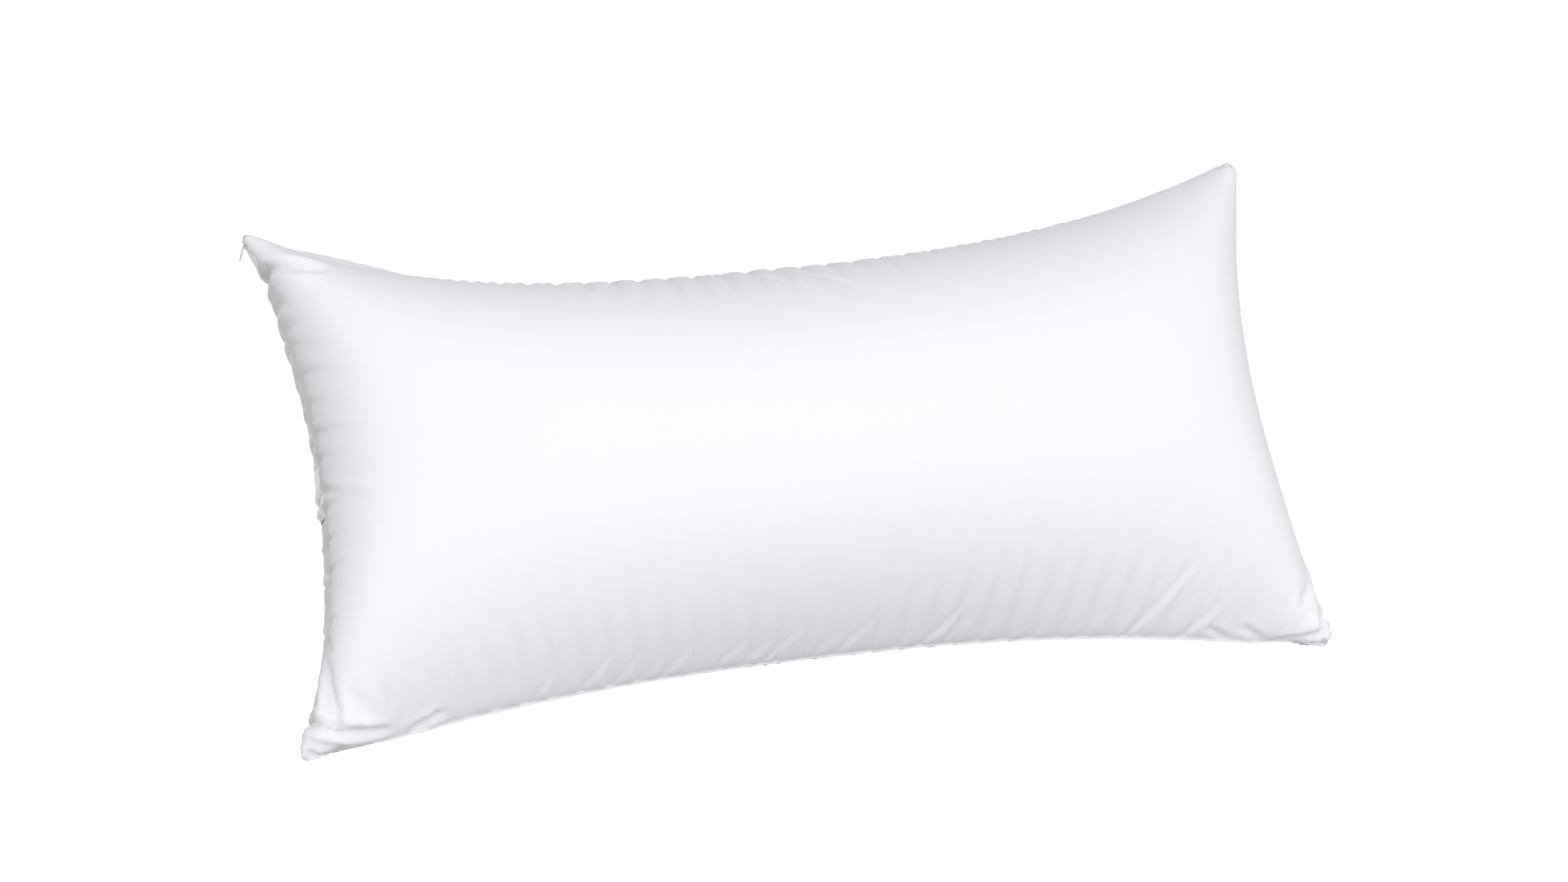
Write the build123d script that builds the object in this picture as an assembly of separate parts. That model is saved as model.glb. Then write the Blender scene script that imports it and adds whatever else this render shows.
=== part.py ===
from build123d import *
import math
import os

# A 40 x 80 cm bed pillow: two panels of down-proof cotton sewn together on all four sides and
# stuffed with loose fibre. It lies on its back panel. +X runs along its length and +Z is up.
# The origin is at the middle of its footprint, on the surface it lies on. Lengths are in mm.

# Stuffed size, corner to corner
LENGTH = 745.0
WIDTH = 374.0
CROWN_HEIGHT = 118.0  # top of the front panel above the seam
BELLY_DEPTH = 118.0  # bottom of the back panel below the seam, before its weight flattens it
SEAM_HEIGHT = 108.0  # the seam above the surface that the pillow lies on

# How far the stuffing pulls the middle of each side in, and how flat that middle stays
FAR_PULL = 53.0
NEAR_PULL = 32.0
LEFT_PULL = 31.0
RIGHT_PULL = 26.0
LONG_SIDE_FLATNESS = 2.7
SHORT_SIDE_FLATNESS = 2.2
CROWN_FLATNESS = 3.0  # how flat the crown stays along the length

# Cloth and filling
CLOTH = 0.6
FILL_GAP = 0.8  # between the fibre and the cloth, at the crown and underneath
FILL_INSET = 6.0  # the fibre stops this far short of the seams
SEAM_GAP = 0.6  # between the fibre and the sewn edges inside

# Seams: both panels' edges are turned in, held by a row of stitches, and overlocked
SEAM_ALLOWANCE = 10.0
CORNER_TRIM = 40.0  # the allowances are cut away this near to a corner
STITCH_LINE = 4.0  # the row of stitches, in from the edge
THREAD = 0.5
OVERLOCK_WIDTH = 4.0
OVERLOCK_THREAD = 0.4
THREAD_GAP = 0.05  # between a thread and the cloth that it lies on

# Overlock chain left hanging at one corner
TAIL_LENGTH = 18.0
TAIL_WIDTH = 1.6
TAIL_THICKNESS = 1.0
TAIL_LEAN = 32.0  # degrees out from the short side

# Care label, folded in two and caught in the closing seam, hanging against the back panel
LABEL_WIDTH = 36.0
LABEL_DROP = 30.0
LABEL_CLOTH = 0.15
LABEL_OFFSET = 0.0  # along the closing side, from its middle
LABEL_STAND_OFF = 0.6  # clear of the seam's edge
LABEL_TUCK = 8.0  # caught between the allowances

HALF_LENGTH = LENGTH / 2
HALF_WIDTH = WIDTH / 2
SPANS_LONG = 28
SPANS_WIDE = 20
SIDE_POINTS = 21

# Each side: does it run along the length, and is it on the positive side
SIDES = {
    "far": (True, 1),
    "near": (True, -1),
    "right": (False, 1),
    "left": (False, -1),
}
CLOSING_SIDE = "left"


def between(low, high, place):
    """The value at a place from -1, where it is low, to 1, where it is high."""
    return (low * (1 - place) + high * (1 + place)) / 2


def outline_point(u, v, inset=0.0):
    """A place inside the seam outline; u and v run from -1 to 1 along the length and the width."""
    bow_x = 1 - abs(v) ** SHORT_SIDE_FLATNESS
    bow_y = 1 - abs(u) ** LONG_SIDE_FLATNESS
    reach_x = HALF_LENGTH - inset
    reach_y = HALF_WIDTH - inset
    x = between(LEFT_PULL * bow_x - reach_x, reach_x - RIGHT_PULL * bow_x, u)
    y = between(NEAR_PULL * bow_y - reach_y, reach_y - FAR_PULL * bow_y, v)
    return x, y


def dome(rise, inset=0.0, base_height=SEAM_HEIGHT):
    """A solid with a flat base in the seam outline, bulging by rise, which is negative downwards."""
    rows = []
    for i in range(SPANS_LONG + 1):
        u = -math.cos(math.pi * i / SPANS_LONG)
        along = math.sqrt(max(0.0, 1 - abs(u) ** CROWN_FLATNESS))
        row = []
        for j in range(SPANS_WIDE + 1):
            angle = math.pi * j / SPANS_WIDE
            x, y = outline_point(u, -math.cos(angle), inset)
            row.append((x, y, base_height + rise * along * abs(math.sin(angle))))
        rows.append(row)
    skin = Face.make_surface_from_array_of_points(rows, tol=0.001, min_deg=3, max_deg=5)
    base = Face(Wire(skin.outer_wire().edges()))
    return Solid(Shell([skin, base]))


def above(height):
    """Everything over a level, as a block far larger than the pillow."""
    return Pos(0, 0, height) * Box(
        2 * LENGTH, 2 * WIDTH, 2 * LENGTH, align=(Align.CENTER, Align.CENTER, Align.MIN)
    )


def side_line(side, inset):
    """A curve along one side, parallel to the seam outline, that stops short of both corners."""
    along_length, sign = SIDES[side]
    half = HALF_LENGTH if along_length else HALF_WIDTH
    reach = 1 - CORNER_TRIM / half
    points = []
    for i in range(SIDE_POINTS):
        s = reach * (2 * i / (SIDE_POINTS - 1) - 1)
        u, v = (s, sign) if along_length else (sign, s)
        points.append(outline_point(u, v, inset))
    return Spline(*points)


def side_strip(side, outer, inner, low, high):
    """A flat strip along one side, between two insets from the edge and two heights."""
    edge = side_line(side, outer)
    inside = side_line(side, inner)
    ends = [Line(edge @ 0, inside @ 0), Line(edge @ 1, inside @ 1)]
    face = Face(Wire([edge, inside, *ends]))
    if face.normal_at().Z < 0:
        face = -face
    return Pos(0, 0, low) * extrude(face, high - low, dir=(0, 0, 1))


def panel(rise, floor):
    """One panel: a skin of cloth with its four seam allowances turned in along the seam plane."""
    up = math.copysign(1, rise)
    skin = dome(rise)
    hollow = dome(rise - up * CLOTH, CLOTH)
    if floor:
        skin = skin & above(0)
        hollow = hollow & above(CLOTH)
    shell = skin - hollow
    low, high = sorted((SEAM_HEIGHT, SEAM_HEIGHT + up * CLOTH))
    for side in SIDES:
        shell = shell + side_strip(side, CLOTH / 2, SEAM_ALLOWANCE, low, high)
    return shell


def seam_thread(side):
    """The row of seam stitches: the needle thread over the allowances, the looper thread under."""
    start = CLOTH + THREAD_GAP
    rows = []
    for up in (1, -1):
        low, high = sorted((SEAM_HEIGHT + up * start, SEAM_HEIGHT + up * (start + THREAD)))
        rows.append(side_strip(side, STITCH_LINE, STITCH_LINE + THREAD, low, high))
    return Compound(children=rows)


def overlock(side):
    """Thread wrapped over the raw edges of both allowances, as one folded band."""
    inner = SEAM_ALLOWANCE + THREAD_GAP
    outer = SEAM_ALLOWANCE - OVERLOCK_WIDTH
    half = CLOTH + THREAD_GAP + OVERLOCK_THREAD
    gap = CLOTH + THREAD_GAP
    wrap = side_strip(side, inner, inner + OVERLOCK_THREAD, SEAM_HEIGHT - half, SEAM_HEIGHT + half)
    upper = side_strip(side, outer, inner + THREAD_GAP, SEAM_HEIGHT + gap, SEAM_HEIGHT + half)
    lower = side_strip(side, outer, inner + THREAD_GAP, SEAM_HEIGHT - half, SEAM_HEIGHT - gap)
    return wrap + upper + lower


def outline_face(inset):
    """The flat area inside the seam outline, moved in by inset."""
    corners = [(-1, -1), (1, -1), (1, 1), (-1, 1)]
    edges = []
    for (u0, v0), (u1, v1) in zip(corners, corners[1:] + corners[:1]):
        steps = [i / (SIDE_POINTS - 1) for i in range(SIDE_POINTS)]
        points = [outline_point(u0 + (u1 - u0) * s, v0 + (v1 - v0) * s, inset) for s in steps]
        edges.append(Spline(*points))
    return Face(Wire(edges))


def fibre_fill():
    """The stuffing: two bulging halves and a narrower waist that leaves room for the sewn edges."""
    clear = CLOTH + FILL_GAP
    waist = CLOTH + THREAD_GAP + THREAD + SEAM_GAP
    depth = SEAM_ALLOWANCE + THREAD_GAP + OVERLOCK_THREAD + SEAM_GAP
    upper = dome(CROWN_HEIGHT - clear - waist, FILL_INSET, SEAM_HEIGHT + waist)
    lower = dome(clear + waist - BELLY_DEPTH, FILL_INSET, SEAM_HEIGHT - waist) & above(clear)
    middle = Pos(0, 0, SEAM_HEIGHT - waist) * extrude(outline_face(depth), 2 * waist, dir=(0, 0, 1))
    return upper + middle + lower


def thread_tail():
    """The overlock chain that runs off the far left corner and hangs beside it."""
    corner_x, corner_y = outline_point(-1, 1)
    chain = Box(TAIL_WIDTH, TAIL_LENGTH, TAIL_THICKNESS, align=(Align.CENTER, Align.MAX, Align.CENTER))
    return Pos(corner_x - TAIL_WIDTH / 2, corner_y, SEAM_HEIGHT) * Rot(0, 0, -TAIL_LEAN) * chain


def label_tab():
    """The end of the label that is sewn in, under the seam plane."""
    x, y = outline_point(-1, LABEL_OFFSET / HALF_WIDTH)
    reach = LABEL_STAND_OFF + LABEL_TUCK
    tab = Box(reach, LABEL_WIDTH, 2 * LABEL_CLOTH, align=(Align.MIN, Align.CENTER, Align.MAX))
    return Pos(x - LABEL_STAND_OFF, y, SEAM_HEIGHT) * tab


def care_label():
    """A blank folded label: a tab caught in the closing seam, and two layers hanging below it."""
    x, y = outline_point(-1, LABEL_OFFSET / HALF_WIDTH)
    layers = Box(
        2 * LABEL_CLOTH, LABEL_WIDTH, LABEL_DROP, align=(Align.MAX, Align.CENTER, Align.MAX)
    )
    return Pos(x - LABEL_STAND_OFF, y, SEAM_HEIGHT) * layers + label_tab()


def pieces():
    """Every physical piece, by name."""
    made = {
        "front_ticking": panel(CROWN_HEIGHT, floor=False),
        "back_ticking": panel(-BELLY_DEPTH, floor=True) - label_tab(),
        "fibre_fill": fibre_fill(),
        "thread_tail": thread_tail(),
        "care_label": care_label(),
    }
    for side in SIDES:
        name = "closing_seam_thread" if side == CLOSING_SIDE else f"seam_thread_{side}"
        made[name] = seam_thread(side)
        made[f"overlock_{side}"] = overlock(side)
    return made


os.makedirs("parts", exist_ok=True)
for node, shape in pieces().items():
    export_step(shape, f"parts/{node}.step")
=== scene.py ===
import math

import bpy
import numpy as np
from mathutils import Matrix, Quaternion, Vector, noise


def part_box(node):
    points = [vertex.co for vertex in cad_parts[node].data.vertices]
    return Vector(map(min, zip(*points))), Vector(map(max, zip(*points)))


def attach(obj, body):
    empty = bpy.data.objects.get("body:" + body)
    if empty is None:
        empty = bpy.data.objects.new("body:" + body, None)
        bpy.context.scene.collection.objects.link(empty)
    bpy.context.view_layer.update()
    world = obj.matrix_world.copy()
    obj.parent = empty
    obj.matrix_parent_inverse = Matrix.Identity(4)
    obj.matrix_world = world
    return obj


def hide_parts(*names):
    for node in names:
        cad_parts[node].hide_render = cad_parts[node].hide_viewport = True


# A stuffed bed pillow: two cotton panels are simulated as one sewn and inflated bag, and the
# seam, its threads, the stuffing and the care label are built round the result. In metres.

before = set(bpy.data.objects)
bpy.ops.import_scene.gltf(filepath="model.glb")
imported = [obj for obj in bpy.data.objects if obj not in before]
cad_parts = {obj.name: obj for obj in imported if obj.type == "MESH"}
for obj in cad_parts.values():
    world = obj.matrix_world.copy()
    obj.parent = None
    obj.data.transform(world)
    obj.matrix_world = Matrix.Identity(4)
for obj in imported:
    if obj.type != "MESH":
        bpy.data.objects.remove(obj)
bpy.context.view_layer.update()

# ---------------------------------------------------------------- sizes, from the frame

front_low, front_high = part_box("front_ticking")
back_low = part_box("back_ticking")[0]
HALF_LENGTH = (front_high[0] - front_low[0]) / 2
HALF_WIDTH = (front_high[1] - front_low[1]) / 2
SEAM_HEIGHT = front_low[2]
FLOOR = back_low[2]
CROWN_HEIGHT = front_high[2] - SEAM_HEIGHT
BELLY_DEPTH = SEAM_HEIGHT - FLOOR

# ---------------------------------------------------------------- the cloth

CLOTH_LENGTH = 0.8  # each panel as cut, between its seam lines
CLOTH_WIDTH = 0.4
ALLOWANCE = 0.010
CLOTH_THICKNESS = 0.00025

# How the stuffing pulls each side in: how far, where along the side (-1 to 1) it is furthest in,
# and how flat the curve is on each side of that place.
SIDES = {
    "far": dict(pull=0.056, middle=-0.22, before=2.85, after=3.0),
    "near": dict(pull=0.0315, middle=0.07, before=2.5, after=2.05),
    "left": dict(pull=0.0403, middle=-0.43, before=1.7, after=3.2),
    "right": dict(pull=0.0358, middle=0.15, before=2.8, after=1.5),
}
# Each ear: its place as signs of x and y, how narrow its neck is drawn, and how far its tip lifts.
EARS = {
    "far_left": dict(x=-1, y=1, pinch=0.80, lift=0.004),
    "far_right": dict(x=1, y=1, pinch=0.0, lift=0.0),
    "near_right": dict(x=1, y=-1, pinch=0.30, lift=0.002),
    "near_left": dict(x=-1, y=-1, pinch=0.50, lift=0.006),
}
EAR_NECK = 0.032  # the neck's distance from the tip, along the edge
EAR_NECK_WIDTH = 0.018
EAR_LIFT_REACH = 0.05
EAR_ROUNDING = 0.006  # over which the whole seam line is smoothed
EAR_BLUNTNESS = 0.013  # over which it is smoothed at the tips
EAR_BLUNT_REACH = 0.024
EAR_REACH = 0.006  # the tips stand out this much before they are rounded

# Solver levels, coarse to fine: rounds, how strongly the seam is held to its line, how much the
# cloth resists being pushed together, how much it resists bending over two cells, and how far
# its points are shaken first, so that it can buckle.
LEVELS = [
    dict(rounds=400, hold=0.3, push=0.0, bend=0.0, shake=0.0),
    dict(rounds=200, hold=0.2, push=0.0, bend=0.0, shake=0.0),
    dict(rounds=150, hold=0.1, push=0.0, bend=0.0, shake=0.0),
    dict(rounds=45, hold=0.2, push=0.15, bend=0.02, shake=0.0002),
]
BEND_SPAN = 2
COARSE_CELLS = (38, 19)
PRESSURE = 2e-5  # how far the stuffing pushes a coarse cell out in one round
SHEAR = 0.1
DAMPING = 0.9
LAST_DAMPING = 0.63  # over the settling share of each level's rounds
SETTLING_SHARE = 0.3
RESTING_HEIGHT = 0.0005  # points this near the floor aren't shaken
STARTING_SHARE = 0.95  # of the final height, which the cloth starts from

# Creases drawn in from the seams: side, place along it (-1 to 1), lean, length and depth.
# The lean is how far a crease moves along the side for each step in from it.
CREASES = [
    ("near", 0.57, 0.60, 0.075, 0.0042), ("near", 0.68, 0.74, 0.040, 0.0036),
    ("near", 0.17, 0.58, 0.060, 0.0034), ("near", 0.21, 0.54, 0.040, 0.0022),
    ("near", 0.00, 0.68, 0.056, 0.0018), ("near", -0.05, 0.74, 0.032, 0.0018),
    ("near", -0.14, 0.74, 0.050, 0.0024), ("near", -0.18, 0.70, 0.036, 0.0024),
    ("near", -0.23, 0.70, 0.044, 0.0020), ("near", -0.33, 0.70, 0.044, 0.0022),
    ("near", -0.37, 0.70, 0.030, 0.0020), ("near", -0.42, 0.64, 0.044, 0.0022),
    ("near", -0.48, 0.68, 0.046, 0.0022), ("near", -0.57, 0.64, 0.034, 0.0020),
    ("near", 0.34, 0.56, 0.034, 0.0012), ("far", -0.42, 0.60, 0.075, 0.0034),
    ("far", -0.34, 0.55, 0.051, 0.0021), ("far", -0.25, 0.60, 0.063, 0.0032),
    ("far", -0.14, 0.75, 0.105, 0.0034), ("far", -0.06, 0.75, 0.114, 0.0037),
    ("far", -0.01, 0.70, 0.075, 0.0023), ("far", 0.14, 0.50, 0.054, 0.0014),
    ("left", 0.56, -0.35, 0.085, 0.0019), ("left", 0.45, -0.30, 0.095, 0.0026),
    ("left", 0.33, -0.25, 0.068, 0.0019), ("left", 0.22, -0.25, 0.102, 0.0022),
    ("left", 0.12, -0.20, 0.068, 0.0017), ("left", 0.02, -0.34, 0.085, 0.0036),
    ("left", -0.07, -0.10, 0.112, 0.0020), ("left", -0.20, -0.05, 0.068, 0.0014),
    ("left", -0.32, 0.0, 0.078, 0.0014), ("left", -0.52, 0.10, 0.080, 0.0012),
    ("right", -0.53, 0.55, 0.040, 0.0028), ("right", -0.42, 0.40, 0.030, 0.0014),
    ("right", -0.10, 0.20, 0.026, 0.0010),
]
# Folds pressed into the ears, each from one point to another, with its depth and width. Points
# are distances from the tip, along the long side and along the short side.
EAR_FOLDS = {
    "far_left": [
        ((0.028, 0.003), (0.120, 0.022), 0.0090, 0.0036),
        ((0.002, 0.034), (0.066, 0.050), 0.0060, 0.0036),
        ((0.002, 0.058), (0.030, 0.066), 0.0024, 0.0034),
        ((0.002, 0.078), (0.034, 0.084), 0.0020, 0.0030),
        ((0.018, 0.016), (0.070, 0.034), 0.0012, 0.0030),
    ],
    "far_right": [
        ((0.030, 0.001), (0.001, 0.015), 0.0026, 0.0018),
        ((0.050, 0.002), (0.100, 0.014), 0.0012, 0.0034),
    ],
    "near_left": [
        ((0.000, 0.032), (0.072, 0.010), 0.0070, 0.0036),
        ((0.010, 0.014), (0.044, 0.008), 0.0026, 0.0020),
        ((0.006, 0.005), (0.030, 0.002), 0.0014, 0.0016),
        ((0.085, 0.004), (0.112, 0.014), 0.0030, 0.0032),
    ],
    "near_right": [
        ((0.052, 0.004), (0.012, 0.014), 0.0040, 0.0028),
        ((0.032, 0.002), (0.008, 0.005), 0.0024, 0.0018),
        ((0.002, 0.022), (0.016, 0.026), 0.0030, 0.0028),
        ((0.062, 0.004), (0.082, 0.016), 0.0026, 0.0028),
        ((0.090, 0.003), (0.108, 0.014), 0.0024, 0.0026),
    ],
}
FOLD_LIMITS = (0.75, 0.2)  # front and back, of the pillow's thickness at that place
TIP_RIBS = 9  # fine gathers round the far left tip
TIP_RIB_DEPTH = 0.0009
TIP_RIB_REACH = 0.030
CREASE_WIDTH = 0.0026
CREASE_TAPER = 1.3  # how fast a crease fades inwards
CREASE_FLARE = 0.5  # how much wider it gets from its outer to its inner end
CREASE_RIDGE = 0.6  # the raised cloth beside it, as a share of its depth
RIDGE_OFFSET = 1.7  # in widths of the crease
RIDGE_WIDTH = 1.3
FOLD_RIDGE = 0.35  # the same beside a fold, on both sides of it
FOLD_RIDGE_OFFSET = 2
FOLD_END_POWER = 0.7
FINE_CREASES = {"near": 26, "far": 24, "left": 14, "right": 10}
CREASE_START = 0.012  # a crease begins this far in from the seam
FINE_DEPTH = 0.0006
FINE_LENGTH = 0.024
BEFORE_SHARE = 0.7  # of each crease's depth, pressed in before the last level
AFTER_SHARE = 0.9  # and after it
SEAM_SWELL = 0.0012
SWELL_LIMIT = 0.1  # of the pillow's thickness at that place
FINE_LEAN = {"near": 0.6, "far": 0.5, "left": -0.2, "right": 0.25}
FINE_SPAN = 0.86  # the finer creases stop this far along a side, where its half is 1
SEED = 7


def bow(place, side):
    """How far in a side is at each place along it, as a share of its pull."""
    shift = place - side["middle"]
    room = np.where(shift < 0, 1 + side["middle"], 1 - side["middle"])
    power = np.where(shift < 0, side["before"], side["after"])
    return 1 - np.abs(shift / room) ** power


def ring(grid):
    """A grid's edge points once round, from the near left corner along the near side."""
    return np.concatenate([grid[:-1, 0], grid[-1, :-1], grid[:0:-1, -1], grid[0, :0:-1]])


def set_ring(grid, points):
    """Puts the points of ring() back."""
    nx, ny = grid.shape[0] - 1, grid.shape[1] - 1
    grid[:-1, 0] = points[:nx]
    grid[-1, :-1] = points[nx:nx + ny]
    grid[:0:-1, -1] = points[nx + ny:2 * nx + ny]
    grid[0, :0:-1] = points[2 * nx + ny:]


def smooth_loop(values, radius):
    """A closed loop of values, averaged over a bell curve of that radius in points."""
    reach = int(4 * radius) + 1
    offsets = np.arange(-reach, reach + 1)
    weights = np.exp(-0.5 * (offsets / max(radius, 0.01)) ** 2)
    weights /= weights.sum()
    return sum(w * np.roll(values, -k, axis=0) for w, k in zip(weights, offsets))


def cloth_places(nx, ny):
    """The grid's places on the cloth, from -1 to 1 along its length and width."""
    return np.meshgrid(np.linspace(-1, 1, nx + 1), np.linspace(-1, 1, ny + 1), indexing="ij")


def seam_line(nx, ny):
    """A flat grid in the plane of the seam, whose edge is where the seam should lie."""
    u, v = cloth_places(nx, ny)
    reach_x = HALF_LENGTH + EAR_REACH
    reach_y = HALF_WIDTH + EAR_REACH
    pulls = {name: side["pull"] + EAR_REACH for name, side in SIDES.items()}
    left = -reach_x + pulls["left"] * bow(v, SIDES["left"])
    right = reach_x - pulls["right"] * bow(v, SIDES["right"])
    near = -reach_y + pulls["near"] * bow(u, SIDES["near"])
    far = reach_y - pulls["far"] * bow(u, SIDES["far"])
    x = ((1 - u) * left + (1 + u) * right) / 2
    y = ((1 - v) * near + (1 + v) * far) / 2
    grid = np.stack([x, y, np.full_like(x, SEAM_HEIGHT)], -1)
    edge = ring(grid)
    on_cloth = ring(np.stack([u * CLOTH_LENGTH / 2, v * CLOTH_WIDTH / 2], -1))
    for ear in EARS.values():
        corner = np.array([ear["x"] * CLOTH_LENGTH / 2, ear["y"] * CLOTH_WIDTH / 2])
        away = np.abs(on_cloth - corner).sum(axis=1)
        tip = np.array([ear["x"] * reach_x, ear["y"] * reach_y])
        diagonal = np.array([ear["x"], ear["y"]]) / math.sqrt(2)
        offset = edge[:, :2] - tip
        sideways = offset - (offset @ diagonal)[:, None] * diagonal
        neck = ear["pinch"] * np.exp(-(((away - EAR_NECK) / EAR_NECK_WIDTH) ** 2))
        edge[:, :2] -= neck[:, None] * sideways
        edge[:, 2] += ear["lift"] * np.exp(-((away / EAR_LIFT_REACH) ** 2))
    cell = CLOTH_LENGTH / nx
    to_tip = np.abs(np.abs(on_cloth) - [CLOTH_LENGTH / 2, CLOTH_WIDTH / 2]).sum(axis=1)
    blunt = np.exp(-((to_tip / EAR_BLUNT_REACH) ** 2))[:, None]
    sharp_edge = smooth_loop(edge, EAR_ROUNDING / cell)
    set_ring(grid, sharp_edge + blunt * (smooth_loop(edge, EAR_BLUNTNESS / cell) - sharp_edge))
    return grid


# ---------------------------------------------------------------- the cloth solver


def pull_pairs(a, b, rest, stretch, push):
    """Moves pairs of points towards their rest distance, when too far apart and when too near."""
    gap = b - a
    length = np.sqrt(np.einsum("...k,...k->...", gap, gap))
    error = 1 - rest / np.maximum(length, 1e-9)
    move = (np.where(error > 0, stretch, push) * error / 2)[..., None] * gap
    a += move
    b -= move


def pull_springs(cloth, di, dj, rest, stretch, push):
    """Every spring from (i, j) to (i + di, j + dj), in passes that share no point."""
    nx, ny = cloth.shape[1], cloth.shape[2]
    if di:
        first = slice(0, ny - dj) if dj >= 0 else slice(-dj, ny)
        second = slice(dj, ny) if dj >= 0 else slice(0, ny + dj)
        for start in range(2 * di):
            a = cloth[:, start:nx - di:2 * di, first]
            b = cloth[:, start + di:nx:2 * di, second]
            n = min(a.shape[1], b.shape[1])
            pull_pairs(a[:, :n], b[:, :n], rest, stretch, push)
    else:
        for start in range(2 * dj):
            a = cloth[:, :, start:ny - dj:2 * dj]
            b = cloth[:, :, start + dj:ny:2 * dj]
            n = min(a.shape[2], b.shape[2])
            pull_pairs(a[:, :, :n], b[:, :, :n], rest, stretch, push)


def across(cloth, axis):
    """The difference between each point's two neighbours along a grid axis."""
    return np.gradient(cloth, axis=axis) * 2


def area_normals(cloth):
    """Each point's normal, as long as four of its cells' area, pointing out of the pillow."""
    normals = np.cross(across(cloth, 1), across(cloth, 2))
    normals[1] *= -1
    return normals


def join_seam(cloth, target, hold):
    """Joins the two panels' edges and draws them towards the seam's line."""
    middle = (ring(cloth[0]) + ring(cloth[1])) / 2
    middle += hold * (ring(target) - middle)
    set_ring(cloth[0], middle)
    set_ring(cloth[1], middle)


def relax(cloth, target, pressure, level):
    """Rounds of stuffing pressure, stretch, shear and bending, above the floor."""
    nx, ny = cloth.shape[1] - 1, cloth.shape[2] - 1
    dx, dy = CLOTH_LENGTH / nx, CLOTH_WIDTH / ny
    span, bend = BEND_SPAN, level["bend"]
    speed = np.zeros_like(cloth)
    for step in range(level["rounds"]):
        settling = step > level["rounds"] * (1 - SETTLING_SHARE)
        before = cloth.copy()
        cloth += speed * (LAST_DAMPING if settling else DAMPING)
        cloth += area_normals(cloth) * (pressure / (4 * dx * dy))
        pull_springs(cloth, 1, 0, dx, 1.0, level["push"])
        pull_springs(cloth, 0, 1, dy, 1.0, level["push"])
        pull_springs(cloth, 1, 1, math.hypot(dx, dy), SHEAR, SHEAR)
        pull_springs(cloth, 1, -1, math.hypot(dx, dy), SHEAR, SHEAR)
        pull_springs(cloth, span, 0, span * dx, 0.0, bend)
        pull_springs(cloth, 0, span, span * dy, 0.0, bend)
        join_seam(cloth, target, level["hold"])
        cloth[..., 2] = np.maximum(cloth[..., 2], FLOOR)
        speed = cloth - before


def refine(cloth):
    """The same cloth with half-size cells."""
    finer = np.zeros([2, 2 * cloth.shape[1] - 1, 2 * cloth.shape[2] - 1, 3])
    finer[:, ::2, ::2] = cloth
    finer[:, 1::2, ::2] = (cloth[:, 1:] + cloth[:, :-1]) / 2
    finer[:, :, 1::2] = (finer[:, :, :-1:2] + finer[:, :, 2::2]) / 2
    return finer


def crease_list(rng):
    """The drawn creases and a scatter of finer ones, all as the same five facts."""
    made = list(CREASES)
    for side, count in FINE_CREASES.items():
        lean = FINE_LEAN[side]
        for k in range(count):
            place = -FINE_SPAN + 2 * FINE_SPAN * (k + rng.uniform(0.1, 0.9)) / count
            length = FINE_LENGTH * rng.uniform(0.5, 1.7)
            depth = FINE_DEPTH * rng.uniform(0.2, 2.0)
            made.append((side, place, lean + rng.uniform(-0.2, 0.2), length, depth))
    return made


def crease_depths(nx, ny, creases):
    """How deep the creases are at each grid point of a panel, in metres."""
    u, v = cloth_places(nx, ny)
    x, y = u * CLOTH_LENGTH / 2, v * CLOTH_WIDTH / 2
    along_inward = {
        "near": (x, y + CLOTH_WIDTH / 2, CLOTH_LENGTH / 2),
        "far": (x, CLOTH_WIDTH / 2 - y, CLOTH_LENGTH / 2),
        "left": (y, x + CLOTH_LENGTH / 2, CLOTH_WIDTH / 2),
        "right": (y, CLOTH_LENGTH / 2 - x, CLOTH_WIDTH / 2),
    }
    depth = np.zeros_like(x)
    for side, place, lean, length, deep in creases:
        along, inward, half = along_inward[side]
        aside = along - place * half - lean * inward
        reach = np.clip(inward / length, 0, 1)
        taper = (1 - reach) ** CREASE_TAPER * np.clip(inward / CREASE_START, 0, 1)
        width = CREASE_WIDTH * (1 - CREASE_FLARE / 2 + CREASE_FLARE * reach)
        fold = np.exp(-((aside / width) ** 2))
        beside = (aside - RIDGE_OFFSET * width) / (RIDGE_WIDTH * width)
        ridge = CREASE_RIDGE * np.exp(-(beside ** 2))
        depth += deep * taper * (fold - ridge)
    return depth


def fold_depths(nx, ny):
    """How deep the ears' folds are at each grid point of a panel, in metres."""
    u, v = cloth_places(nx, ny)
    depth = np.zeros_like(u)
    for name, folds in EAR_FOLDS.items():
        ear = EARS[name]
        from_end = (1 - ear["x"] * u) * CLOTH_LENGTH / 2
        from_side = (1 - ear["y"] * v) * CLOTH_WIDTH / 2
        place = np.stack([from_end, from_side], -1)
        for start, end, deep, width in folds:
            run = np.subtract(end, start)
            along = (place - start) @ run / (run @ run)
            aside = (place - start) @ np.array([-run[1], run[0]]) / np.linalg.norm(run)
            ends = np.clip(4 * along * (1 - along), 0, 1) ** FOLD_END_POWER
            beside = (np.abs(aside) - FOLD_RIDGE_OFFSET * width) / width
            ridge = FOLD_RIDGE * np.exp(-(beside ** 2))
            depth += deep * ends * (np.exp(-((aside / width) ** 2)) - ridge)
        if name == "far_left":
            away = np.linalg.norm(place, axis=-1)
            turn = np.arctan2(place[..., 1], place[..., 0]) / (math.pi / 2)
            near_tip = np.clip(1 - away / TIP_RIB_REACH, 0, 1)
            depth += TIP_RIB_DEPTH * near_tip * np.cos(2 * math.pi * TIP_RIBS * turn)
    return depth


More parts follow.
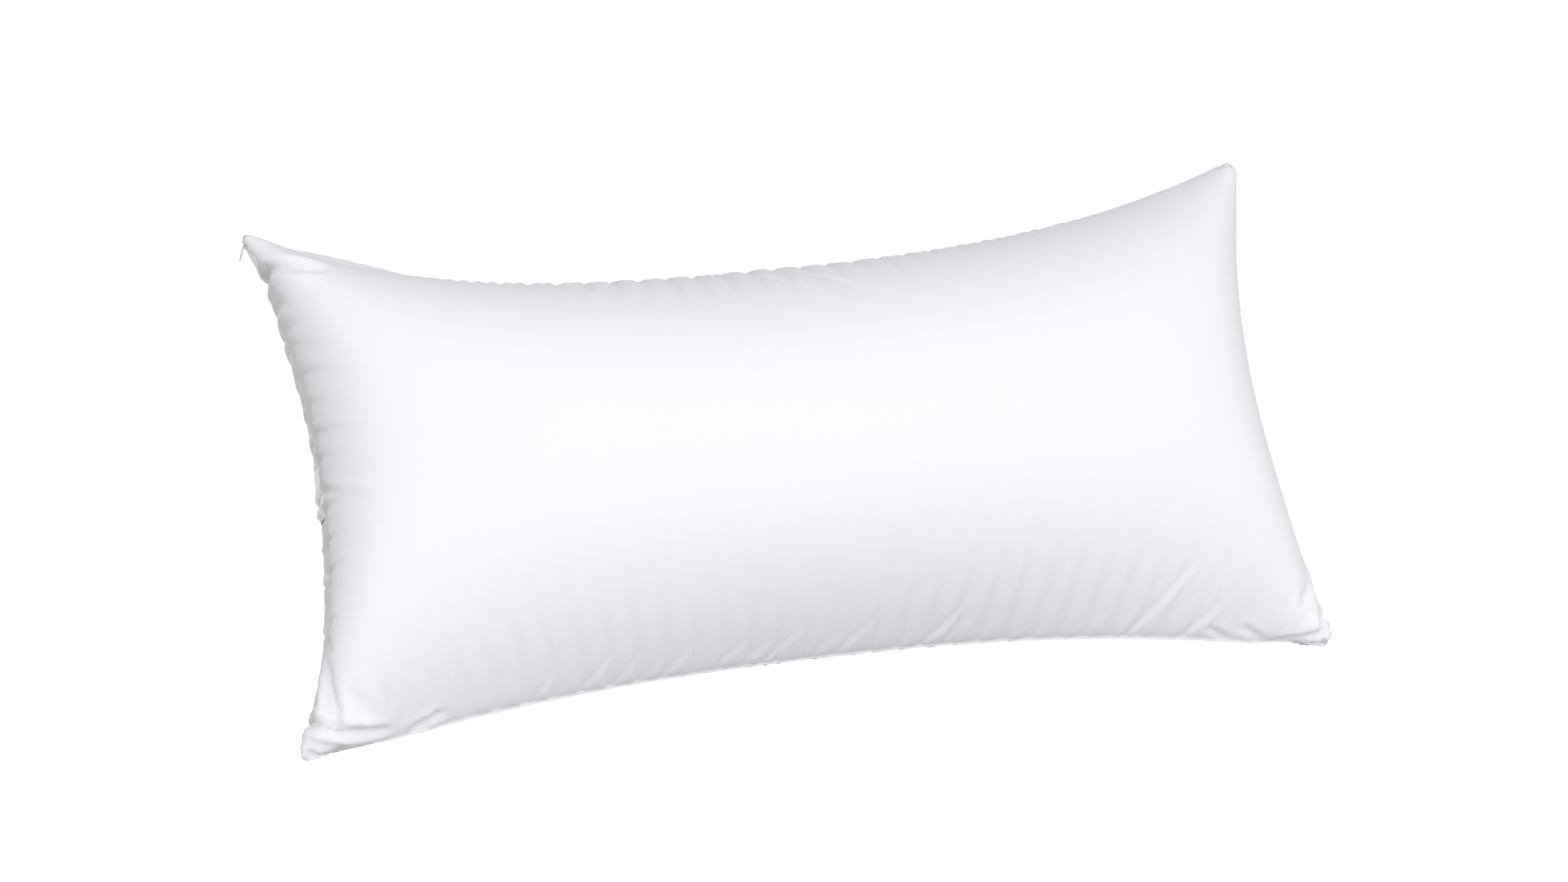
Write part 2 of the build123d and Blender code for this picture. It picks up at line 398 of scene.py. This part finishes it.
def swell_beside_seam(cloth):
    """Fills the cloth out where the turned-in allowances lie behind it, beside the seam."""
    u, v = cloth_places(cloth.shape[1] - 1, cloth.shape[2] - 1)
    inward = np.minimum((1 - np.abs(u)) * CLOTH_LENGTH, (1 - np.abs(v)) * CLOTH_WIDTH) / 2
    thickness = np.linalg.norm(cloth[0] - cloth[1], axis=-1)
    swell = SEAM_SWELL * (inward / ALLOWANCE) * np.exp(1 - inward / ALLOWANCE)
    press_creases(cloth, [-np.minimum(swell, SWELL_LIMIT * thickness)] * 2, 1.0)


def press_folds(cloth):
    """Presses the ears' folds into both panels, each by a limited share of the thickness."""
    depth = fold_depths(cloth.shape[1] - 1, cloth.shape[2] - 1)
    thickness = np.linalg.norm(cloth[0] - cloth[1], axis=-1)
    press_creases(cloth, [np.minimum(depth, limit * thickness) for limit in FOLD_LIMITS], 1.0)


def press_creases(cloth, depths, share):
    """Moves each panel's points in along their normals by a share of the creases' depth."""
    normals = area_normals(cloth)
    normals /= np.maximum(np.linalg.norm(normals, axis=-1, keepdims=True), 1e-12)
    for panel in (0, 1):
        cloth[panel] -= normals[panel] * (share * depths[panel])[..., None]


def inflate():
    """The two panels as a grid of points each, sewn together and stuffed: [panel, i, j, xyz]."""
    rng = np.random.default_rng(SEED)
    creases = [crease_list(rng), crease_list(rng)[::-1]]
    levels = LEVELS
    nx, ny = COARSE_CELLS
    flat = seam_line(nx, ny)
    u, v = cloth_places(nx, ny)
    swell = np.sqrt(np.maximum(0, (1 - np.abs(u) ** 3) * (1 - v ** 2)))
    cloth = np.stack([flat, flat])
    cloth[0, ..., 2] += swell * CROWN_HEIGHT * STARTING_SHARE
    cloth[1, ..., 2] -= swell * BELLY_DEPTH * STARTING_SHARE
    for depth, level in enumerate(levels):
        if depth:
            cloth = refine(cloth)
            nx, ny = 2 * nx, 2 * ny
        depths = [crease_depths(nx, ny, made) for made in creases]
        resting = cloth[..., 2] <= FLOOR + RESTING_HEIGHT
        cloth[..., 2] += np.where(resting, 0, rng.normal(0, level["shake"], cloth.shape[:3]))
        if depth == len(levels) - 1:
            press_creases(cloth, depths, BEFORE_SHARE)
        relax(cloth, seam_line(nx, ny), PRESSURE / 4 ** depth, level)
    press_creases(cloth, depths, AFTER_SHARE)
    swell_beside_seam(cloth)
    press_folds(cloth)
    cloth[..., 2] = np.maximum(cloth[..., 2], FLOOR)
    return cloth


# ---------------------------------------------------------------- mesh helpers


def new_object(name, points, faces, material, smooth=True):
    """A mesh object in the scene, on the root body, with one material."""
    mesh = bpy.data.meshes.new(name)
    mesh.from_pydata([tuple(p) for p in points], [], [tuple(f) for f in faces])
    mesh.validate()
    mesh.update()
    mesh.polygons.foreach_set("use_smooth", [smooth] * len(mesh.polygons))
    mesh.materials.append(material)
    piece = bpy.data.objects.new(name, mesh)
    bpy.context.scene.collection.objects.link(piece)
    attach(piece, "root")
    return piece


def grid_faces(nx, ny, start=0):
    """Quads over a grid of (nx + 1) by (ny + 1) points, facing +Z when it lies flat."""
    index = np.arange((nx + 1) * (ny + 1)).reshape(nx + 1, ny + 1) + start
    quads = [index[:-1, :-1], index[1:, :-1], index[1:, 1:], index[:-1, 1:]]
    return np.stack(quads, -1).reshape(-1, 4)


def strip_faces(first, second):
    """Quads between two closed loops of point numbers."""
    return np.stack([first, np.roll(first, -1), np.roll(second, -1), second], -1)


def unit(vectors):
    """Vectors of length one."""
    return vectors / np.maximum(np.linalg.norm(vectors, axis=-1, keepdims=True), 1e-12)


def tube(points, radius, sides=5):
    """Points and quads of a round tube along an open line of points."""
    points = np.asarray(points)
    run = unit(np.gradient(points, axis=0))
    side = unit(np.cross(run, np.array([0.31, 0.27, 0.91])))
    other = np.cross(run, side)
    turns = np.linspace(0, 2 * math.pi, sides, endpoint=False)
    loops = [points + radius * (math.cos(t) * side + math.sin(t) * other) for t in turns]
    verts = np.stack(loops, 1).reshape(-1, 3)
    index = np.arange(len(points) * sides).reshape(-1, sides)
    nxt = np.roll(index, -1, axis=1)
    quads = np.stack([index[:-1], nxt[:-1], nxt[1:], index[1:]], -1).reshape(-1, 4)
    return verts, [*quads.tolist(), index[0][::-1].tolist(), index[-1].tolist()]


def tubes_object(name, lines, radius, material):
    """One piece made of a tube along each line."""
    points, faces, start = [], [], 0
    for line in lines:
        verts, quads = tube(line, radius)
        points.append(verts)
        faces += [[k + start for k in f] for f in quads]
        start += len(verts)
    return new_object(name, np.concatenate(points), faces, material)


# ---------------------------------------------------------------- materials


def new_material(name):
    """A node material, with its tree and its shader."""
    material = bpy.data.materials.new(name)
    material.use_nodes = True
    tree = material.node_tree
    return material, tree, tree.nodes["Principled BSDF"]


def node(tree, kind, **inputs):
    """A new node with some inputs set, by socket name with spaces as underscores."""
    made = tree.nodes.new(kind)
    for name, value in inputs.items():
        made.inputs[name.replace("_", " ")].default_value = value
    return made


def math_node(tree, operation, *values):
    """A maths node on sockets or numbers."""
    made = tree.nodes.new("ShaderNodeMath")
    made.operation = operation
    for socket, value in zip(made.inputs, values):
        if isinstance(value, (int, float)):
            socket.default_value = value
        else:
            tree.links.new(value, socket)
    return made.outputs[0]


def thread_wave(tree, coordinate, pitch):
    """A wave from 0 to 1 across threads of that pitch, along one cloth coordinate in metres."""
    turned = math_node(tree, "MULTIPLY", coordinate, 2 * math.pi / pitch)
    wave = math_node(tree, "SINE", turned)
    return math_node(tree, "MULTIPLY_ADD", wave, 0.5, 0.5)


def cotton_material(name, colour, shade, pitch, weave_depth, slub_depth, roughness, sheen):
    """Plain-woven cotton: crossing threads, slubs along them, and a faint drift of colour."""
    material, tree, shader = new_material(name)
    uv = tree.nodes.new("ShaderNodeUVMap")
    uv.uv_map = "cloth"
    split = tree.nodes.new("ShaderNodeSeparateXYZ")
    tree.links.new(uv.outputs["UV"], split.inputs[0])
    warp = thread_wave(tree, split.outputs["X"], pitch)
    weft = thread_wave(tree, split.outputs["Y"], pitch)
    weave = math_node(tree, "MULTIPLY", warp, weft)

    slubs = []
    for scale in ((90.0, 1400.0, 1.0), (1400.0, 90.0, 1.0)):
        stretch = tree.nodes.new("ShaderNodeVectorMath")
        stretch.operation = "MULTIPLY"
        stretch.inputs[1].default_value = scale
        tree.links.new(uv.outputs["UV"], stretch.inputs[0])
        noise = node(tree, "ShaderNodeTexNoise", Scale=1.0, Detail=3.0, Roughness=0.55)
        tree.links.new(stretch.outputs[0], noise.inputs["Vector"])
        slubs.append(noise.outputs["Fac"])
    slub = math_node(tree, "ADD", *slubs)

    drift = node(tree, "ShaderNodeTexNoise", Scale=7.0, Detail=4.0, Roughness=0.5)
    tree.links.new(uv.outputs["UV"], drift.inputs["Vector"])
    blend = node(tree, "ShaderNodeMix")
    blend.data_type = "RGBA"
    blend.inputs[6].default_value = (*shade, 1)
    blend.inputs[7].default_value = (*colour, 1)
    ramp = math_node(tree, "MULTIPLY_ADD", drift.outputs["Fac"], 0.7, 0.15)
    tree.links.new(ramp, blend.inputs[0])
    tree.links.new(blend.outputs[2], shader.inputs["Base Color"])

    fine = node(tree, "ShaderNodeBump", Strength=1.0, Distance=weave_depth)
    tree.links.new(weave, fine.inputs["Height"])
    coarse = node(tree, "ShaderNodeBump", Strength=1.0, Distance=slub_depth)
    tree.links.new(slub, coarse.inputs["Height"])
    tree.links.new(fine.outputs["Normal"], coarse.inputs["Normal"])
    tree.links.new(coarse.outputs["Normal"], shader.inputs["Normal"])

    rough = math_node(tree, "MULTIPLY_ADD", slub, 0.08, roughness - 0.08)
    tree.links.new(rough, shader.inputs["Roughness"])
    shader.inputs["Sheen Weight"].default_value = sheen
    shader.inputs["Sheen Roughness"].default_value = 0.5
    return material


def fibre_material():
    """Loose white fibre: clumps, tangled strands and a soft sheen."""
    material, tree, shader = new_material("fibre")
    place = tree.nodes.new("ShaderNodeTexCoord")
    clumps = node(tree, "ShaderNodeTexNoise", Scale=38.0, Detail=8.0, Roughness=0.7)
    clumps.inputs["Distortion"].default_value = 1.6
    tree.links.new(place.outputs["Object"], clumps.inputs["Vector"])
    ramp = tree.nodes.new("ShaderNodeValToRGB")
    ramp.color_ramp.elements[0].color = (0.72, 0.72, 0.70, 1)
    ramp.color_ramp.elements[1].color = (0.93, 0.93, 0.92, 1)
    tree.links.new(clumps.outputs["Fac"], ramp.inputs["Fac"])
    tree.links.new(ramp.outputs["Color"], shader.inputs["Base Color"])
    bump = node(tree, "ShaderNodeBump", Strength=0.8, Distance=0.003)
    tree.links.new(clumps.outputs["Fac"], bump.inputs["Height"])
    tree.links.new(bump.outputs["Normal"], shader.inputs["Normal"])
    shader.inputs["Roughness"].default_value = 0.95
    shader.inputs["Sheen Weight"].default_value = 0.3
    return material


def thread_material():
    """Spun white sewing thread, with its twist as a fine bump."""
    material, tree, shader = new_material("thread")
    place = tree.nodes.new("ShaderNodeTexCoord")
    twist = node(tree, "ShaderNodeTexNoise", Scale=2600.0, Detail=2.0)
    tree.links.new(place.outputs["Object"], twist.inputs["Vector"])
    ramp = tree.nodes.new("ShaderNodeValToRGB")
    ramp.color_ramp.elements[0].color = (0.80, 0.80, 0.82, 1)
    ramp.color_ramp.elements[1].color = (0.92, 0.92, 0.93, 1)
    tree.links.new(twist.outputs["Fac"], ramp.inputs["Fac"])
    tree.links.new(ramp.outputs["Color"], shader.inputs["Base Color"])
    bump = node(tree, "ShaderNodeBump", Strength=0.5, Distance=0.0001)
    tree.links.new(twist.outputs["Fac"], bump.inputs["Height"])
    tree.links.new(bump.outputs["Normal"], shader.inputs["Normal"])
    shader.inputs["Roughness"].default_value = 0.6
    shader.inputs["Sheen Weight"].default_value = 0.2
    return material


# ---------------------------------------------------------------- the seam

LIP = 0.0009  # the pinched edge that stands out past the row of stitches
LIP_HALF = 0.0007  # half its thickness
LAYER = 0.00012  # from the seam's middle to the turned-in layer
LIP_RIPPLE = 0.3  # how unevenly it stands out
PUCKER = 0.0002
CORNER_TRIM = 0.03
TRIMMED_SHARE = 0.15  # of the allowance, left at the tips


class Seam:
    """The seam's line, with the way out of the pillow and the way up at each point."""

    def __init__(self, cloth):
        front = cloth[0]
        self.line = ring(front)
        self.nx, self.ny = front.shape[0] - 1, front.shape[1] - 1
        run = unit(smooth_loop(np.roll(self.line, -1, axis=0) - np.roll(self.line, 1, axis=0), 2.0))
        self.out = unit(np.cross(run, [0.0, 0.0, 1.0]))
        self.up = np.cross(self.out, run)
        rng = np.random.default_rng(SEED + 1)
        ripple = smooth_loop(rng.normal(0, 1, len(self.line)), 1.2)
        self.ripple = ripple / np.abs(ripple).max()

    def at(self, out, up):
        """The seam's line moved outwards and upwards."""
        return self.line + self.out * np.reshape(out, (-1, 1)) + self.up * np.reshape(up, (-1, 1))

    def allowance(self):
        """The allowance's width at each point, trimmed towards the corners."""
        tips = np.cumsum([0, self.nx, self.ny, self.nx])
        away = np.min([np.linalg.norm(self.line - self.line[k], axis=1) for k in tips], axis=0)
        return ALLOWANCE * np.clip(away / CORNER_TRIM, TRIMMED_SHARE, 1)

    def side(self, name):
        """The numbers of one side's points, corner to corner."""
        nx, ny = self.nx, self.ny
        start = {"near": 0, "right": nx, "far": nx + ny, "left": 2 * nx + ny}[name]
        count = nx if name in ("near", "far") else ny
        return np.arange(start, start + count + 1) % len(self.line)


def panel(name, cloth, which, seam, material):
    """A ticking panel: its simulated face, the pinched edge, and the allowance turned in."""
    up = 1 if which == 0 else -1
    nx, ny = seam.nx, seam.ny
    grid = cloth[which].copy()
    set_ring(grid, seam.at(0.0, up * LIP_HALF))
    lip = LIP * (1 + LIP_RIPPLE * seam.ripple)
    wave = PUCKER * seam.ripple
    allowance = seam.allowance()
    loops = [
        seam.at(lip * 0.8, up * LIP_HALF * 0.95 + wave),
        seam.at(lip, up * LIP_HALF * 0.55 + wave),
        seam.at(lip * 0.8, up * LAYER + wave),
        seam.at(-allowance / 2, up * LAYER),
        seam.at(-allowance, up * LAYER),
    ]
    numbers = np.arange((nx + 1) * (ny + 1)).reshape(nx + 1, ny + 1)
    faces = [grid_faces(nx, ny)]
    points = [grid.reshape(-1, 3)]
    u, v = cloth_places(nx, ny)
    on_cloth = np.stack([u * CLOTH_LENGTH / 2, v * CLOTH_WIDTH / 2], -1)
    edge_out = unit(ring(on_cloth) * np.array([CLOTH_WIDTH, CLOTH_LENGTH]))
    places = [on_cloth.reshape(-1, 2)]
    last, count = ring(numbers), numbers.size
    for step, loop in enumerate(loops):
        this = np.arange(count, count + len(loop))
        faces.append(strip_faces(this, last))
        points.append(loop)
        places.append(ring(on_cloth) + edge_out * 0.001 * (step + 1))
        last, count = this, count + len(loop)
    faces = np.concatenate(faces)
    if which:
        faces = faces[:, ::-1]
    piece = new_object(name, np.concatenate(points), faces, material)
    layer = piece.data.uv_layers.new(name="cloth")
    corners = np.zeros(len(piece.data.loops), dtype=np.int64)
    piece.data.loops.foreach_get("vertex_index", corners)
    layer.data.foreach_set("uv", np.concatenate(places)[corners].ravel())
    thick = piece.modifiers.new("thickness", "SOLIDIFY")
    thick.thickness = CLOTH_THICKNESS
    thick.offset = -1
    return piece


# ---------------------------------------------------------------- thread

STITCH = 0.003
OVERLOCK_STEPS = 10  # points round each loop
THREAD_RADIUS = 0.0002
STITCH_DEPTH = 0.0022  # the row of stitches, in from the seam's line
OVERLOCK_REACH = 0.004
SKIP_AT_CORNER = 0.03


def line_places(seam, side, pitch):
    """Steps along one side at a pitch, as fractional positions in its list of points."""
    chosen = seam.side(side)
    line = seam.line[chosen]
    run = np.concatenate([[0], np.cumsum(np.linalg.norm(np.diff(line, axis=0), axis=1))])
    count = int((run[-1] - 2 * SKIP_AT_CORNER) / pitch)
    wanted = SKIP_AT_CORNER + pitch * np.arange(count)

    def value(values):
        return np.stack([np.interp(wanted, run, values[chosen][:, k]) for k in range(3)], -1)

    return value(seam.line), value(seam.out), value(seam.up)


def seam_stitches(seam, side, name, material):
    """Lockstitches through both allowances: the needle thread above and the looper's below."""
    line, out, up = line_places(seam, side, STITCH / 3)
    height = np.where(np.arange(len(line)) % 3 == 0, 0.1, 1.0) * (LAYER + 2 * THREAD_RADIUS)
    rows = [line - out * STITCH_DEPTH + sign * up * height[:, None] for sign in (1, -1)]
    return tubes_object(name, rows, THREAD_RADIUS, material)


def overlock_stitches(seam, side, name, material):
    """Thread looped over both raw edges, once a stitch."""
    line, out, up = line_places(seam, side, STITCH / OVERLOCK_STEPS)
    turn = 2 * math.pi * np.arange(len(line)) / OVERLOCK_STEPS
    reach = OVERLOCK_REACH / 2
    inward = ALLOWANCE - reach + (reach + 2 * THREAD_RADIUS) * np.cos(turn)
    height = (LAYER + CLOTH_THICKNESS + THREAD_RADIUS) * np.sin(turn)
    loops = line - out * inward[:, None] + up * height[:, None]
    return tubes_object(name, [loops], THREAD_RADIUS, material)


# ---------------------------------------------------------------- stuffing, label and thread end

FILL_CELLS = 152
FILL_EDGE = 3  # cells between the seam and the stuffing
FILL_GAP = 0.0022  # at least, between the fibre and the cloth's grid
LUMP_SIZE = 0.035
LUMP_DEPTH = 1.2  # of the gap, added where the fibre is hollowest
FILL_GAP_LIMIT = 0.6  # of the half thickness


def stuffing(cloth, material):
    """The loose fibre, in soft lumps inside the cloth, on a grid coarser than the cloth's."""
    step = max(1, (cloth.shape[1] - 1) // FILL_CELLS)
    front, back = cloth[:, ::step, ::step][:, FILL_EDGE:-FILL_EDGE, FILL_EDGE:-FILL_EDGE]
    middle, half = (front + back) / 2, (front - back) / 2
    depth = np.linalg.norm(half, axis=-1)
    points = []
    for sign in (1, -1):
        side = middle + sign * half
        lumps = [0.5 + 0.5 * noise.noise(Vector(p) / LUMP_SIZE) for p in side.reshape(-1, 3)]
        gap = FILL_GAP * (1 + LUMP_DEPTH * np.array(lumps).reshape(depth.shape))
        share = 1 - np.minimum(gap / depth, FILL_GAP_LIMIT)
        points.append(middle + sign * half * share[..., None])
    nx, ny = depth.shape[0] - 1, depth.shape[1] - 1
    numbers = np.arange(depth.size).reshape(depth.shape)
    top_ring, low_ring = ring(numbers), ring(numbers) + depth.size
    faces = [grid_faces(nx, ny), grid_faces(nx, ny, depth.size)[:, ::-1],
             strip_faces(low_ring, top_ring)]
    points = np.concatenate([p.reshape(-1, 3) for p in points])
    return new_object("stuffing", points, np.concatenate(faces), material)


LABEL_THICKNESS = 0.0001
LABEL_OFF_CLOTH = 0.0005
LABEL_TUCK = 0.008
LABEL_ROWS = 14
LABEL_COLUMNS = 18
LABEL_START = 0.05  # of its drop, where it leaves the seam
LABEL_LAYERS = {"outer": 3.0, "fold": 2.2, "inner": 1.4}  # off the cloth, in its own steps


def label_line(drop, belly):
    """The label's line from its sewn end, down to its fold and back: how far out of the seam and
    how far above it. belly gives the cloth's own line."""
    down = drop * np.linspace(LABEL_START, 1, LABEL_ROWS)
    out = np.maximum(belly(down), (LIP + LABEL_OFF_CLOTH) * np.exp(-down / LABEL_TUCK))
    sewn = [(o, LABEL_THICKNESS) for o in (-LABEL_TUCK, 0.0, LIP + LABEL_OFF_CLOTH)]
    outer = [(o + LABEL_LAYERS["outer"] * LABEL_OFF_CLOTH, -d) for o, d in zip(out, down)]
    inner = [(o + LABEL_LAYERS["inner"] * LABEL_OFF_CLOTH, -d) for o, d in zip(out, down)]
    fold = [(out[-1] + LABEL_LAYERS["fold"] * LABEL_OFF_CLOTH, -drop - LABEL_OFF_CLOTH)]
    return sewn + outer + fold + inner[::-1] + [(o, -z) for o, z in sewn[::-1]]


def care_label(cloth, seam, material):
    """A blank tape folded in half, sewn into the left seam, lying on the belly below it."""
    low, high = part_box("care_label")
    chosen = seam.side("left")[::-1]
    line, out = seam.line[chosen], seam.out[chosen]
    drop = SEAM_HEIGHT - low[2] - LABEL_OFF_CLOTH
    across_seam = np.linspace(low[1], high[1], LABEL_COLUMNS + 1)
    points, places = [], []
    for y in across_seam:
        base = np.array([np.interp(y, line[:, 1], line[:, k]) for k in range(3)])
        away = unit(np.array([np.interp(y, line[:, 1], out[:, k]) for k in range(2)] + [0.0]))
        column = cloth[1][:, int(np.argmin(np.abs(cloth[1][0, :, 1] - y)))]
        lowest = int(np.argmin(column[:, 2]))

        def belly(down):
            return np.interp(down, base[2] - column[:lowest, 2], base[0] - column[:lowest, 0])

        section = np.array(label_line(drop, belly))
        run = np.concatenate([[0], np.cumsum(np.hypot(*np.diff(section, axis=0).T))])
        points += [base + away * o + np.array([0, 0, z]) for o, z in section]
        places += [(y, s) for s in run]
    faces = grid_faces(LABEL_COLUMNS, len(section) - 1)
    piece = new_object("label_tape", points, faces, material)
    layer = piece.data.uv_layers.new(name="cloth")
    corners = np.zeros(len(piece.data.loops), dtype=np.int64)
    piece.data.loops.foreach_get("vertex_index", corners)
    layer.data.foreach_set("uv", np.array(places)[corners].ravel())
    thick = piece.modifiers.new("thickness", "SOLIDIFY")
    thick.thickness = LABEL_THICKNESS
    thick.offset = 0
    return piece, (high[1] - low[1], float(run[-1]))


TAIL_TURN = 0.0022
TAIL_RADIUS = 0.0006
TAIL_THREAD = 0.00028
TAIL_POINTS = 140
TAIL_STRANDS = 3
TAIL_LEAN = (-0.45, -1.0, 0.0)
TAIL_ASIDE = 0.55  # how far it goes that way, as a share of its length
TAIL_DROP = 0.75  # and how far down
TIP_EDGE = 0.024  # how far the loops over the tip's edge go, each way
TIP_LOOP = 0.0021
TIP_LOOP_OUT = (-0.0036, 0.0034)
TIP_LOOP_UP = 0.0013
TIP_POINTS = 420


def thread_tail(seam, material):
    """The overlock's loops over the far left tip, and the end of its chain hanging from it."""
    low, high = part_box("thread_tail")
    tip = 2 * seam.nx + seam.ny
    start = seam.line[tip] + seam.out[tip] * 0.001
    length = float(np.linalg.norm(np.array(high) - np.array(low)))
    along = np.linspace(0, 1, TAIL_POINTS)[:, None]
    lean = unit(np.array(TAIL_LEAN))
    drop = np.array([0.0, 0.0, -1.0])
    middle = start + length * (along * TAIL_ASIDE * lean + along ** 2 * TAIL_DROP * drop)
    side = unit(np.cross(lean, drop))
    strands = []
    for strand in range(TAIL_STRANDS):
        turn = 2 * math.pi * (along * length / TAIL_TURN + strand / TAIL_STRANDS)
        strands.append(middle + TAIL_RADIUS * (np.cos(turn) * side + 0.7 * np.sin(2 * turn) * lean))

    reach = 12 * seam.nx // 200 + 1
    near_tip = np.arange(tip - reach, tip + reach + 1)
    line = seam.line[near_tip]
    run = np.concatenate([[0], np.cumsum(np.linalg.norm(np.diff(line, axis=0), axis=1))])
    run -= run[reach]
    edge = np.linspace(max(run[0], -TIP_EDGE), min(run[-1], TIP_EDGE), TIP_POINTS)
    base, out, up = [np.stack([np.interp(edge, run, f[near_tip][:, k]) for k in range(3)], -1)
                     for f in (seam.line, seam.out, seam.up)]
    turn = 2 * math.pi * edge / TIP_LOOP
    wander = 1 + 0.3 * np.sin(edge / 0.0031) + 0.2 * np.sin(edge / 0.0013)
    loop_middle, loop_half = sum(TIP_LOOP_OUT) / 2, (TIP_LOOP_OUT[1] - TIP_LOOP_OUT[0]) / 2
    outward = loop_middle + loop_half * np.cos(turn) * wander
    upward = TIP_LOOP_UP * np.sin(turn)
    strands.append(base + out * outward[:, None] + up * upward[:, None])
    return tubes_object("chain_end", strands, TAIL_THREAD, material)


# ---------------------------------------------------------------- the pillow

cloth = inflate()
seam = Seam(cloth)

ticking = cotton_material(
    "percale", colour=(0.86, 0.86, 0.88), shade=(0.83, 0.83, 0.86), pitch=0.0006,
    weave_depth=0.00002, slub_depth=0.00008, roughness=0.8, sheen=0.15)
tape = cotton_material(
    "label_tape", colour=(0.88, 0.88, 0.88), shade=(0.84, 0.84, 0.85), pitch=0.0004,
    weave_depth=0.00003, slub_depth=0.00002, roughness=0.5, sheen=0.05)
fibre = fibre_material()
thread = thread_material()

filling = stuffing(cloth, fibre)
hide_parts("fibre_fill")

for which, name in enumerate(("front", "back")):
    face = panel(name + "_panel", cloth, which, seam, ticking)
    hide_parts(name + "_ticking")

for side in SIDES:
    row = seam_stitches(seam, side, "stitches_" + side, thread)
    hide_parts("closing_seam_thread" if side == "left" else "seam_thread_" + side)
    loops = overlock_stitches(seam, side, "overlock_loops_" + side, thread)
    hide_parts("overlock_" + side)

tail = thread_tail(seam, thread)
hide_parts("thread_tail")

label, label_flat = care_label(cloth, seam, tape)
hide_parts("care_label")

# ---------------------------------------------------------------- floor, light and camera

TARGET = Vector((-0.0077, 0.0037, 0.108))
CAMERA_AZIMUTH = math.radians(-42.05)
CAMERA_ELEVATION = math.radians(69.86)
CAMERA_ROLL = math.radians(34.85)
CAMERA_DISTANCE = 2.189
CAMERA_LENS = 70
FLOOR_HALF = 40.0
FLOOR_GLOW = 0.75  # keeps the ground white, with no shadow on it
SOFTBOXES = {  # place, and power in watts
    "left": (Vector((-1.03, 0.0, 1.58)), 5.8),
    "right": (Vector((1.03, 0.0, 1.58)), 5.8),
    "low": (Vector((-0.82, -1.41, 0.87)), 1.2),
}
SOFTBOX_SIZE = 1.1
UPPER_GLOW = 0.87
LOWER_GLOW = 0.0
HORIZON_FADE = 0.05  # over which one goes to the other, each way
SKY_COLOUR = (0.98, 0.98, 1.0, 1)


def make_floor():
    """A plain white floor, lit from within like a light table."""
    material, tree, shader = new_material("floor")
    tint = node(tree, "ShaderNodeTexNoise", Scale=0.5)
    ramp = tree.nodes.new("ShaderNodeValToRGB")
    ramp.color_ramp.elements[0].color = (0.90, 0.90, 0.90, 1)
    ramp.color_ramp.elements[1].color = (0.92, 0.92, 0.92, 1)
    tree.links.new(tint.outputs["Fac"], ramp.inputs["Fac"])
    tree.links.new(ramp.outputs["Color"], shader.inputs["Base Color"])
    shader.inputs["Roughness"].default_value = 0.9
    shader.inputs["Emission Color"].default_value = (1, 1, 1, 1)
    shader.inputs["Emission Strength"].default_value = FLOOR_GLOW
    mesh = bpy.data.meshes.new("floor")
    half = FLOOR_HALF
    corners = [(x * half, y * half, FLOOR) for x, y in ((-1, -1), (1, -1), (1, 1), (-1, 1))]
    mesh.from_pydata(corners, [], [(0, 1, 2, 3)])
    mesh.materials.append(material)
    floor = bpy.data.objects.new("floor", mesh)
    floor.visible_diffuse = False
    bpy.context.scene.collection.objects.link(floor)


def aim(thing, place, target):
    """Puts a light or camera in place, looking at a point."""
    thing.location = place
    thing.rotation_mode = "QUATERNION"
    thing.rotation_quaternion = (target - place).to_track_quat("-Z", "Y")


def make_lights():
    """Large soft lights, and a white surround that is dark below the horizon."""
    for name, (place, power) in SOFTBOXES.items():
        light = bpy.data.lights.new(name, "AREA")
        light.energy = power
        light.size = SOFTBOX_SIZE
        softbox = bpy.data.objects.new(name, light)
        bpy.context.scene.collection.objects.link(softbox)
        aim(softbox, place, TARGET)
    world = bpy.data.worlds.new("surround")
    world.use_nodes = True
    tree = world.node_tree
    background = tree.nodes["Background"]
    direction = tree.nodes.new("ShaderNodeTexCoord")
    split = tree.nodes.new("ShaderNodeSeparateXYZ")
    tree.links.new(direction.outputs["Generated"], split.inputs[0])
    fade = node(tree, "ShaderNodeMapRange", From_Min=-HORIZON_FADE, From_Max=HORIZON_FADE,
                To_Min=LOWER_GLOW, To_Max=UPPER_GLOW)
    tree.links.new(split.outputs["Z"], fade.inputs["Value"])
    tree.links.new(fade.outputs["Result"], background.inputs["Strength"])
    background.inputs["Color"].default_value = SKY_COLOUR
    bpy.context.scene.world = world


def make_camera():
    """Looks down from above the near left corner, rolled so that the long sides lie level."""
    lens = bpy.data.cameras.new("camera")
    lens.lens = CAMERA_LENS
    camera = bpy.data.objects.new("camera", lens)
    bpy.context.scene.collection.objects.link(camera)
    flat = math.cos(CAMERA_ELEVATION)
    back = Vector((math.sin(CAMERA_AZIMUTH) * flat, -math.cos(CAMERA_AZIMUTH) * flat,
                   math.sin(CAMERA_ELEVATION)))
    aim(camera, TARGET + back * CAMERA_DISTANCE, TARGET)
    camera.rotation_quaternion = camera.rotation_quaternion @ Quaternion((0, 0, 1), CAMERA_ROLL)
    bpy.context.scene.camera = camera


make_floor()
make_lights()
make_camera()
bpy.context.scene.view_settings.view_transform = "Standard"
